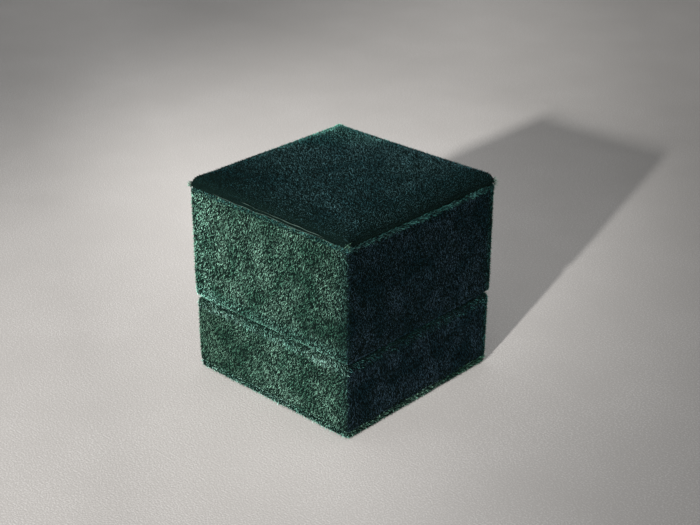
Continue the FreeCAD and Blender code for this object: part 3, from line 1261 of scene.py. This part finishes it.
@dataclass(frozen=True)
class Swell:
    """How a padded piece is swelled: the voxel it is rebuilt at, and how far a point may move."""

    voxel: float = 0.75 * MM
    most: float = 0.6 * MM
    held: float = 1.0 * MM
    pressure: float = 4.0
    frames: int = 20
    bending: float = 1.5
    scale: float = 10.0

    def apply(self, piece: bpy.types.Object, hold: Hold) -> bpy.types.Object:
        """Rebuilds the piece as even quads and lets pressure fill it, as cloth over a stuffing.

        Args:
            piece: A closed mesh, a little smaller than it should end.
            hold: Which end of it stays as it is.

        Returns:
            The same object with its new mesh.
        """
        self._scale(piece, self.scale)
        remesh = piece.modifiers.new("even", "REMESH")
        remesh.mode = "VOXEL"
        remesh.voxel_size = self.voxel * self.scale
        replaced_mesh(piece)
        self._relax(piece)
        before = self._points(piece)
        heights = before[:, 2] * hold.value
        held = self.held * self.scale
        weight = np.clip(1.0 - (heights - heights.min() - held) / held, 0, 1)
        self._simulate(piece, weight)
        moved = self._points(piece) - before
        far = np.linalg.norm(moved, axis=1, keepdims=True)
        still = 1e-9
        share = np.minimum(1.0, self.most * self.scale / np.maximum(far, still))
        after = before + moved * share * (1 - weight[:, None])
        piece.data.vertices.foreach_set("co", after.astype(np.float32).ravel())
        self._relax(piece)
        self._scale(piece, 1 / self.scale)
        piece.data.shade_smooth()
        return piece

    def _simulate(self, piece: bpy.types.Object, weight: np.ndarray) -> None:
        """Runs the cloth and keeps its last frame.

        Args:
            piece: The object.
            weight: How firmly each point is glued.
        """
        group = piece.vertex_groups.new(name="glued")
        for index, value in enumerate(weight):
            group.add([index], float(value), "REPLACE")
        cloth = piece.modifiers.new("cloth", "CLOTH")
        cloth.settings.vertex_group_mass = "glued"
        cloth.settings.use_pressure = True
        cloth.settings.uniform_pressure_force = self.pressure
        cloth.settings.effector_weights.gravity = 0.0
        cloth.settings.bending_stiffness = self.bending
        cloth.point_cache.frame_start = 1
        cloth.point_cache.frame_end = self.frames
        scene = bpy.context.scene
        for number in range(1, self.frames + 1):
            scene.frame_set(number)
        replaced_mesh(piece)
        piece.vertex_groups.clear()
        scene.frame_set(1)

    @staticmethod
    def _points(piece: bpy.types.Object) -> np.ndarray:
        """Reads the mesh's points.

        Args:
            piece: The object.

        Returns:
            One row for each point.
        """
        flat = np.zeros(len(piece.data.vertices) * 3, np.float32)
        piece.data.vertices.foreach_get("co", flat)
        return flat.reshape(-1, 3).astype(float)

    @staticmethod
    def _scale(piece: bpy.types.Object, factor: float) -> None:
        """Makes the mesh that much larger about the origin."""
        for vert in piece.data.vertices:
            vert.co *= factor

    @staticmethod
    def _relax(piece: bpy.types.Object, passes: int = 4) -> None:
        """Takes the voxels' steps out of the mesh.

        Args:
            piece: The object.
            passes: How many times it is smoothed.
        """
        mesh = bmesh.new()
        mesh.from_mesh(piece.data)
        for _ in range(passes):
            bmesh.ops.smooth_vert(
                mesh, verts=mesh.verts, factor=0.5, use_axis_x=True, use_axis_y=True, use_axis_z=True
            )
        mesh.to_mesh(piece.data)
        mesh.free()


def bed_of(
    piece: bpy.types.Object, name: str, growth: Callable[[np.ndarray], np.ndarray]
) -> bpy.types.Object:
    """Copies the faces of a padded piece that a pile stands on.

    Args:
        piece: The padded piece.
        name: The new object's name.
        growth: Gives how far the pile stands at each point, and nothing where there is none.

    Returns:
        The bed.
    """
    mesh = piece.data.copy()
    bed = in_scene(name, mesh)
    amount = growth(np.array([v.co for v in mesh.vertices]))
    set_growth(mesh, amount)
    work = bmesh.new()
    work.from_mesh(mesh)
    work.verts.ensure_lookup_table()
    bare = [v for v in work.verts if amount[v.index] <= BARE]
    bmesh.ops.delete(work, geom=bare, context="VERTS")
    work.to_mesh(mesh)
    work.free()
    return bed


# ------------------------------------------------------------------ the box
@dataclass(frozen=True)
class Sizes:
    """Places that every sub-assembly needs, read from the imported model."""

    wall_inside: float
    lid_out: float
    lid_low: float
    lid_seam: float
    base_out: float
    base_rim: float
    base_low: float

    @classmethod
    def from_frame(cls) -> Sizes:
        """Reads the sizes from the CAD nodes' boxes.

        Returns:
            The sizes.
        """
        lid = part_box("lid_side_velvet")
        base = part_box("base_side_velvet")
        return cls(
            wall_inside=-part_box("lid_wall_left")[1].x,
            lid_out=lid[1].x,
            lid_low=lid[0].z,
            lid_seam=lid[1].z,
            base_out=base[1].x,
            base_rim=base[1].z,
            base_low=base[0].z,
        )


@dataclass
class Lid:
    """The lid's velvet, its padded top panel, and its lining."""

    sizes: Sizes
    finishes: Finishes
    tree: PileTree
    pile_depth: float = 0.8 * MM
    rim_depth: float = 0.2 * MM
    turn_in: float = 10.4 * MM
    upright_round: float = 0.95 * MM

    def build(self) -> None:
        """Makes every piece of the lid."""
        self.side()
        self.top_panel()
        self.ceiling()

    def side(self) -> None:
        """Makes the velvet strip round the lid, from its turned-in edge over the rim to the top seam."""
        s = self.sizes
        out = s.lid_out - self.pile_depth
        inside = s.wall_inside - 0.3 * MM
        rim = s.lid_low + self.rim_depth
        top = s.lid_seam - 0.06 * MM
        line = [
            Corner(inside, s.lid_low + self.turn_in, growth=0.4),
            Corner(inside, rim, radius=0.7 * MM, growth=0.42),
            Corner(out, rim, radius=0.8 * MM, growth=0.8),
            Corner(out, rim + 3 * MM, growth=1.0),
            Corner(out, top - 0.9 * MM, growth=1.0, rim=0.0),
            Corner(out, top, radius=0.75 * MM, growth=0.75, rim=1.0),
            Corner(out - 0.4 * MM, top, growth=0.4, rim=0.7),
        ]
        perimeter = 8 * out
        sheet = VelvetSheet(
            "lid_side_cloth", line, self.upright_round, out, "lid", ("lid_side_velvet",),
            flat=(perimeter, top - rim + out - inside + self.turn_in), seed=21,
        )
        f = self.finishes
        brushes = {
            Side.FRONT: Brush(Pile(), (0.45, 0, -0.9), f.front),
            Side.RIGHT: Brush(FINE, (0, -0.9, -0.4), f.shaded),
            Side.BACK: Brush(CALM, (-0.3, 0, -0.95), f.pile),
            Side.LEFT: Brush(CALM, (0, -0.35, -0.95), f.pile),
        }
        loose = Pile(length=0.8 * MM, stand=0.6, lean=0.8, jitter=0.5)
        rims = {side: Brush(loose, (0.9, 0.5, 0.4), f.teal) for side in Side}
        rims[Side.RIGHT] = Brush(loose, (0.3, 0.6, -0.3), f.seam)
        sheet.make(self.tree, f.backing, brushes, rims)

    def top_panel(self) -> None:
        """Makes the padded panel on top: its cover, swelled over thin foam, and the pile on it."""
        low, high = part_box("lid_top_velvet")
        inset = 0.25 * MM
        start_low = Vector((low.x + inset, low.y + inset, low.z + 0.05 * MM))
        start_high = Vector((high.x - inset, high.y - inset, high.z - 0.7 * MM))
        cover = rounded_block(
            "lid_top_cover", start_low, start_high, soft=1.8 * MM, upright=0.4 * MM, hold=Hold.LOW,
            material=self.finishes.backing,
        )
        Swell(voxel=0.5 * MM, most=0.5 * MM, held=0.5 * MM).apply(cover, Hold.LOW)
        edge = low.z + 0.25 * MM
        bed = bed_of(
            cover, "lid_top_pile",
            lambda p: np.clip((p[:, 2] - edge) / (0.8 * MM), 0, 1) * 0.6
            + 0.4 * np.clip((p[:, 2] - edge - 1.2 * MM) / (1.2 * MM), 0, 1),
        )
        pile = self.tree.grow(bed, Brush(FINE, (0.5, -0.85, 0), self.finishes.top), seed=31)
        threads = [
            self.cut_edge("lid_top_cut_edge_low", 0.10 * MM, rise=0.75 * MM, ends=(-0.66, 0.90), seed=33),
            self.cut_edge("lid_top_cut_edge_high", 0.22 * MM, rise=1.65 * MM, ends=(-0.30, 0.72), seed=37),
        ]
        for piece in (cover, pile, self.frizz(), *threads):
            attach(piece, "lid")
        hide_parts("lid_top_velvet")

    def frizz(self) -> bpy.types.Object:
        """Makes the loose fibres that stick out at the top seam's corners.

        Returns:
            The fibres.
        """
        s = self.sizes
        half = 0.6 * MM
        points = []
        faces = []
        for side in Side:
            turn = side.value * QUARTER_TURN + QUARTER_TURN / 2
            out = np.array([math.sin(turn), -math.cos(turn), 0])
            along = np.array([math.cos(turn), math.sin(turn), 0])
            away = s.lid_out - self.pile_depth - 0.3 * MM
            middle = out * away * math.sqrt(2) + np.array([0, 0, s.lid_seam])
            for a, b in ((-1, -1), (1, -1), (1, 1), (-1, 1)):
                points.append(middle + along * a * half * 1.6 + np.array([0, 0, b * half + half]))
            faces.append(tuple(range(len(points) - 4, len(points))))
        bed = new_piece("lid_corner_frizz", np.array(points), faces, self.finishes.pile)
        set_growth(bed.data, np.ones(len(points)))
        loose = Pile(0.24 * MM, 1.25 * MM, 0.16 * MM, stand=0.8, lean=0.3, jitter=0.5, ruffle_size=1.5 * MM)
        return self.tree.grow(bed, Brush(loose, (0, 0, 0.4), self.finishes.pile), seed=35)

    def cut_edge(
        self, name: str, inset: float, rise: float, ends: tuple[float, float], seed: int
    ) -> bpy.types.Object:
        """Makes a stretch of the top's cut backing, which shows at the front seam as a thin pale thread.

        Args:
            name: The piece's name.
            inset: How far it is inside the top velvet's pile.
            rise: How far it is above the seam.
            ends: Where it starts and ends, as shares of half the lid's side.
            seed: The seed of its unevenness.

        Returns:
            The thread.
        """
        count = 110
        sides = 5
        thickness = 0.075 * MM
        share = np.linspace(0, 1, count)
        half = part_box("lid_top_velvet")[1].x
        x = half * (ends[0] + (ends[1] - ends[0]) * share)
        y = np.full(count, inset - half - 0.15 * MM)
        path = np.column_stack([x, y, np.full(count, self.sizes.lid_seam + rise)])
        sway, bob, sag = 0.12, 0.30, 0.4
        path[:, 1] += waves(path, 6 * MM, seed) * sway * MM
        path[:, 2] += waves(path, 8 * MM, seed + 1) * bob * MM - sag * rise * share
        patchy = np.clip(0.75 + 0.9 * waves(path, 4 * MM, seed + 2), 0.25, 1.2)
        radius = thickness * np.clip(np.sin(share * math.pi) * 5, 0.05, 1) * patchy
        points = []
        for place, r in zip(path, radius):
            for k in range(sides):
                angle = WHOLE_TURN * k / sides
                points.append(place + np.array([0, math.cos(angle), math.sin(angle)]) * r)
        faces = quads(count, sides, False, True)
        faces.append(tuple(range(sides)))
        faces.append(tuple(range((count - 1) * sides, count * sides)))
        return cleaned(new_piece(name, np.array(points), faces, self.finishes.raw_edge))

    def ceiling(self) -> None:
        """Makes the padded satin ceiling inside the lid."""
        low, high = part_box("lid_pad_satin")
        start_low = low + Vector((0.3, 0.3, 0.7)) * MM
        start_high = high - Vector((0.3, 0.3, 0.02)) * MM
        pad = rounded_block(
            "lid_pad_cover", start_low, start_high, soft=1.4 * MM, upright=1.2 * MM, hold=Hold.HIGH,
            material=self.finishes.satin,
        )
        Swell(voxel=0.7 * MM, most=0.6 * MM, held=0.6 * MM).apply(pad, Hold.HIGH)
        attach(pad, "lid")
        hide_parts("lid_pad_satin")


@dataclass
class Base:
    """The base's velvet, its covered bottom panel, and the collar."""

    sizes: Sizes
    finishes: Finishes
    tree: PileTree
    pile_depth: float = 0.75 * MM
    rim_depth: float = 0.15 * MM
    turn_in: float = 7.8 * MM
    upright_round: float = 0.95 * MM

    def build(self) -> None:
        """Makes every piece of the base's covering."""
        self.side()
        self.bottom()
        self.collar()

    def side(self) -> None:
        """Makes the velvet strip round the base, from the bottom seam over the rim to its turned-in edge."""
        s = self.sizes
        out = s.base_out - self.pile_depth
        rim = s.base_rim - self.rim_depth
        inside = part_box("collar_velvet")[1].x + 0.45 * MM
        low = s.base_low + 0.08 * MM
        line = [
            Corner(out - 0.5 * MM, low, growth=0.3),
            Corner(out, low, radius=0.45 * MM, growth=0.5),
            Corner(out, low + 2.2 * MM, growth=1.0),
            Corner(out, rim - 3.6 * MM, growth=1.0),
            Corner(out, rim - 2.4 * MM, growth=1.0, rim=0.8),
            Corner(out, rim, radius=1.3 * MM, growth=0.7, rim=1.0),
            Corner(out - 1.8 * MM, rim, growth=0.5, rim=0.5),
            Corner(inside, rim, radius=0.5 * MM, growth=0.4),
            Corner(inside, rim - 0.7 * MM, growth=0.4),
            Corner(inside, rim - 0.9 * MM, growth=0.0),
            Corner(inside, rim - self.turn_in, growth=0.0),
        ]
        sheet = VelvetSheet(
            "base_side_cloth", line, self.upright_round, out, "base", ("base_side_velvet",),
            flat=(8 * out, rim - low + out - inside + self.turn_in), seed=41,
        )
        f = self.finishes
        brushes = {
            Side.FRONT: Brush(Pile(), (0.12, 0, -1.0), f.low_front),
            Side.RIGHT: Brush(FINE, (0, -0.8, -0.6), f.shaded),
            Side.BACK: Brush(CALM, (-0.15, 0, -1.0), f.pile),
            Side.LEFT: Brush(CALM, (0, -0.1, -1.0), f.pile),
        }
        loose = Pile(spacing=0.25 * MM, length=0.8 * MM, stand=0.45, lean=0.95, jitter=0.5)
        rims = {side: Brush(loose, (0.8, 0.0, -0.5), f.light) for side in Side}
        sparse = Pile(spacing=0.45 * MM, length=0.6 * MM, width=0.17 * MM, stand=0.6, lean=0.8, jitter=0.5)
        rims[Side.RIGHT] = Brush(sparse, (0.3, 0.5, -0.4), f.faint)
        sheet.make(self.tree, f.backing, brushes, rims)

    def bottom(self) -> None:
        """Makes the velvet over the bottom panel: under it, round its edge and turned over on top."""
        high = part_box("base_bottom_velvet")[1]
        out = high.x - 0.35 * MM
        under = 0.3 * MM
        top = high.z - 0.12 * MM
        line = [
            Corner(0.0, under, growth=0.22),
            Corner(out - 1.2 * MM, under, growth=0.22),
            Corner(out, under + 0.1 * MM, radius=0.5 * MM, growth=0.35, rim=0.6),
            Corner(out, top, radius=0.35 * MM, growth=0.7, rim=1.0),
            Corner(out - 0.6 * MM, top, growth=0.2),
            Corner(out - 0.8 * MM, top, growth=0.0),
            Corner(out - 7.0 * MM, top, growth=0.0),
        ]
        reach = 2 * (out + high.z + 7 * MM)
        sheet = VelvetSheet(
            "base_bottom_cloth", line, 1.0 * MM, out, "base", ("base_bottom_velvet",), flat=(reach, reach),
            seed=51, spans=26, step=1.8 * MM,
        )
        under_pile = Pile(spacing=0.4 * MM, length=1.1 * MM, width=0.3 * MM, stand=0.6, jitter=0.6)
        f = self.finishes
        loose = Pile(spacing=0.25 * MM, length=1.15 * MM, stand=0.55, lean=0.7)
        way = (0.9, 0.9, 0.3)
        edges = {side: Brush(loose, way, f.under if side is Side.RIGHT else f.light) for side in Side}
        sheet.make(self.tree, f.backing, Brush(under_pile, (0.3, 0.2, -0.5), f.pile), edges)

    def collar(self) -> None:
        """Makes the velvet over the collar that the lid slides on."""
        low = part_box("collar_velvet")[0]
        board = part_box("collar_board")
        out = board[1].x + 0.3 * MM
        top = board[1].z + 0.3 * MM
        inside = out - 1.8 * MM
        seam = self.sizes.base_rim
        line = [
            Corner(out, low.z + 0.1 * MM, growth=0.0),
            Corner(out, seam - 1.4 * MM, growth=0.0),
            Corner(out, seam - 1.2 * MM, growth=0.5),
            Corner(out, top, radius=0.5 * MM, growth=0.6),
            Corner(inside, top, radius=0.5 * MM, growth=0.5),
            Corner(inside, top - 3.0 * MM, growth=0.3),
            Corner(inside, top - 3.2 * MM, growth=0.0),
            Corner(inside, top - 9.0 * MM, growth=0.0),
        ]
        sheet = VelvetSheet(
            "collar_cloth", line, 1.3 * MM, out, "base", ("collar_velvet",),
            flat=(8 * out, top - low.z + 11 * MM), seed=61, puff=0.03 * MM,
        )
        brush = Brush(Pile(spacing=0.24 * MM), (0.1, 0.1, -1.0), self.finishes.pile)
        sheet.make(self.tree, self.finishes.backing, brush)


@dataclass
class Cushion:
    """The ring cushion: two velvet rolls with the ring slit between them."""

    finishes: Finishes
    tree: PileTree
    pile_depth: float = 0.3 * MM
    slit: float = 0.35 * MM
    roll_round: float = 4.0 * MM
    covered: float = 7.5 * MM

    def build(self) -> None:
        """Makes both rolls with their pile."""
        low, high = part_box("cushion_velvet")
        depth = self.pile_depth
        for name, near, far, seed in (("front", -self.slit, low.y, 71), ("back", self.slit, high.y, 72)):
            front, back = sorted((near, far))
            front += 0.1 * MM if front > low.y + MM else depth
            back -= 0.1 * MM if back < high.y - MM else depth
            start_low = Vector((low.x + depth, front, low.z))
            start_high = Vector((high.x - depth, back, high.z - depth - 0.2 * MM))
            roll = rounded_block(
                "cushion_roll_" + name, start_low, start_high, soft=self.roll_round, upright=0.8 * MM,
                hold=Hold.LOW, material=self.finishes.backing,
            )
            Swell(voxel=0.7 * MM, most=0.8 * MM, held=8 * MM).apply(roll, Hold.LOW)
            shown = high.z - self.covered
            bed = bed_of(
                roll, "cushion_pile_" + name, lambda p: np.clip((p[:, 2] - shown) / (2 * MM), 0, 1) * 0.6
            )
            brush = Brush(Pile(spacing=0.24 * MM), (0.2, -0.8, 0), self.finishes.pile)
            pile = self.tree.grow(bed, brush, seed)
            for piece in (roll, pile):
                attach(piece, "base")
            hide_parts("cushion_velvet")


@dataclass
class Stuffing:
    """The foam inside the padded pieces, which stands for the CAD model's plain blocks."""

    finishes: Finishes

    BLOCKS = (
        ("cushion_foam_front", "base", Hold.LOW, 5.0 * MM),
        ("cushion_foam_back", "base", Hold.LOW, 5.0 * MM),
        ("lid_top_foam", "lid", Hold.LOW, 0.3 * MM),
        ("lid_pad_foam", "lid", Hold.HIGH, 1.0 * MM),
    )

    def build(self) -> None:
        """Makes each foam block a little uneven, inside the place of its CAD node."""
        for node, body, hold, soft in self.BLOCKS:
            low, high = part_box(node)
            ease = Vector((0.9, 0.9, 0.02)) * MM
            top_ease = Vector((0.9, 0.9, 0.4)) * MM
            if hold is Hold.HIGH:
                ease, top_ease = top_ease, ease
            name = node.replace("foam", "foam_block")
            block = rounded_block(
                name, low + ease, high - top_ease, soft, upright=0.8 * MM, hold=hold,
                material=self.finishes.foam,
            )
            self._roughen(block)
            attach(block, body)
            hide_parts(node)

    @staticmethod
    def _roughen(block: bpy.types.Object) -> None:
        """Cuts the block into small faces and makes them slightly uneven, as sawn foam is.

        Args:
            block: The block.
        """
        mesh = bmesh.new()
        mesh.from_mesh(block.data)
        bmesh.ops.triangulate(mesh, faces=mesh.faces)
        bmesh.ops.subdivide_edges(mesh, edges=mesh.edges, cuts=3, use_grid_fill=True)
        points = np.array([v.co for v in mesh.verts])
        seed = 81
        lift = waves(points, 4 * MM, seed) * 0.06 * MM
        mesh.normal_update()
        for vert, amount in zip(mesh.verts, lift):
            vert.co += vert.normal * amount
        mesh.to_mesh(block.data)
        mesh.free()
        block.data.shade_smooth()


class Boards:
    """The CAD nodes whose shapes are right as they are, and only need their finish."""

    def dress(self, finishes: Finishes) -> None:
        """Gives each node its material, hidden or not.

        Args:
            finishes: The materials.
        """
        for name, node in frame["nodes"].items():
            if name.endswith("stays"):
                self._paint(node, finishes.tape)
            elif name.endswith("card"):
                self._paint(node, finishes.card)
            elif name == "lid_lining_strip":
                self._paint(node, finishes.satin)
            elif "foam" in name:
                self._paint(node, finishes.foam)
            elif "velvet" in name or "satin" in name:
                self._paint(node, finishes.backing)
            else:
                self._paint(node, finishes.board)

    @staticmethod
    def _paint(node: bpy.types.Object, material: bpy.types.Material) -> None:
        """Puts one material in all of a node's slots."""
        for place in node.material_slots:
            place.material = material


@dataclass
class Studio:
    """Floor, light and camera. Angles are in degrees."""

    finishes: Finishes
    floor_reach: float = 4.0
    key_power: float = 480.0
    key_colour: Colour = (1.0, 0.985, 0.965)
    key_size: float = 0.052
    key_spread: float = 6.2
    key_blend: float = 0.8
    key_azimuth: float = -74.0
    key_elevation: float = 18.3
    key_distance: float = 2.4
    key_aim: Vector = Vector((-0.046, -0.030, 0.014))
    sky_colour: Colour = (0.97, 0.985, 1.0)
    sky_strength: float = 0.48
    azimuth: float = 43.2
    elevation: float = 25.8
    distance: float = 0.336
    target: Vector = Vector((0.0008, 0.0015, 0.0272))
    lens: float = 73.0

    def build(self) -> None:
        """Sets up everything round the object."""
        self.floor()
        self.lights()
        self.camera()

    def floor(self) -> None:
        """Lays a wide floor just under the box, whose finish carries painted shade."""
        reach = self.floor_reach
        points = np.array([(-reach, -reach, 0), (reach, -reach, 0), (reach, reach, 0), (-reach, reach, 0)])
        plane = new_piece("floor", points, [(0, 1, 2, 3)], self.finishes.floor)

    def lights(self) -> None:
        """Adds a low key light from the left front and a soft pale sky."""
        key = bpy.data.lights.new("key", "SPOT")
        key.energy = self.key_power
        key.color = self.key_colour
        key.shadow_soft_size = self.key_size
        key.spot_size = math.radians(self.key_spread)
        key.spot_blend = self.key_blend
        lamp = bpy.data.objects.new("key", key)
        lamp.location = self.direction(self.key_azimuth, self.key_elevation) * self.key_distance
        lamp.rotation_euler = (self.key_aim - lamp.location).to_track_quat("-Z", "Y").to_euler()
        bpy.context.scene.collection.objects.link(lamp)
        self.keep_off(lamp, ("lid_side_pile_right", "base_side_pile_right", "base_bottom_rim_right"))
        world = bpy.data.worlds.new("sky")
        world.use_nodes = True
        sky = world.node_tree.nodes["Background"]
        sky.inputs["Color"].default_value = rgba(self.sky_colour)
        sky.inputs["Strength"].default_value = self.sky_strength
        bpy.context.scene.world = world
        bpy.context.scene.view_settings.view_transform = "Standard"

    @staticmethod
    def keep_off(lamp: bpy.types.Object, names: tuple[str, ...]) -> None:
        """Keeps a light off some pieces, as a flag beside them would.

        Args:
            lamp: The light.
            names: The pieces' names.
        """
        kept_off = bpy.data.collections.new("kept_off")
        for name in names:
            kept_off.objects.link(bpy.data.objects[name])
        lamp.light_linking.receiver_collection = kept_off
        for link in kept_off.collection_objects:
            link.light_linking.link_state = "EXCLUDE"

    def camera(self) -> None:
        """Places the camera at its azimuth and elevation round the box."""
        data = bpy.data.cameras.new("camera")
        data.lens = self.lens
        data.clip_start = 0.01
        camera = bpy.data.objects.new("camera", data)
        away = self.direction(self.azimuth - 90.0, self.elevation)
        camera.location = self.target + away * self.distance
        camera.rotation_euler = (-away).to_track_quat("-Z", "Y").to_euler()
        bpy.context.scene.collection.objects.link(camera)
        bpy.context.scene.camera = camera

    @staticmethod
    def direction(azimuth: float, elevation: float) -> Vector:
        """Finds the unit vector of a direction.

        Args:
            azimuth: Its angle from +X.
            elevation: Its angle above the floor.

        Returns:
            The vector.
        """
        a = math.radians(azimuth)
        e = math.radians(elevation)
        return Vector((math.cos(a) * math.cos(e), math.sin(a) * math.cos(e), math.sin(e)))


def main() -> None:
    """Builds every sub-assembly in order."""
    logging.basicConfig(level=logging.INFO, format="%(name)s: %(message)s")
    finishes = Finishes()
    tree = PileTree()
    sizes = Sizes.from_frame()
    Lid(sizes, finishes, tree).build()
    Base(sizes, finishes, tree).build()
    Cushion(finishes, tree).build()
    Stuffing(finishes).build()
    Boards().dress(finishes)
    Studio(finishes).build()
    for piece in bpy.context.scene.objects:
        if piece.type == "MESH":
            LOG.info("%s: %d faces", piece.name, len(piece.data.polygons))


if __name__ == "__main__":
    main()
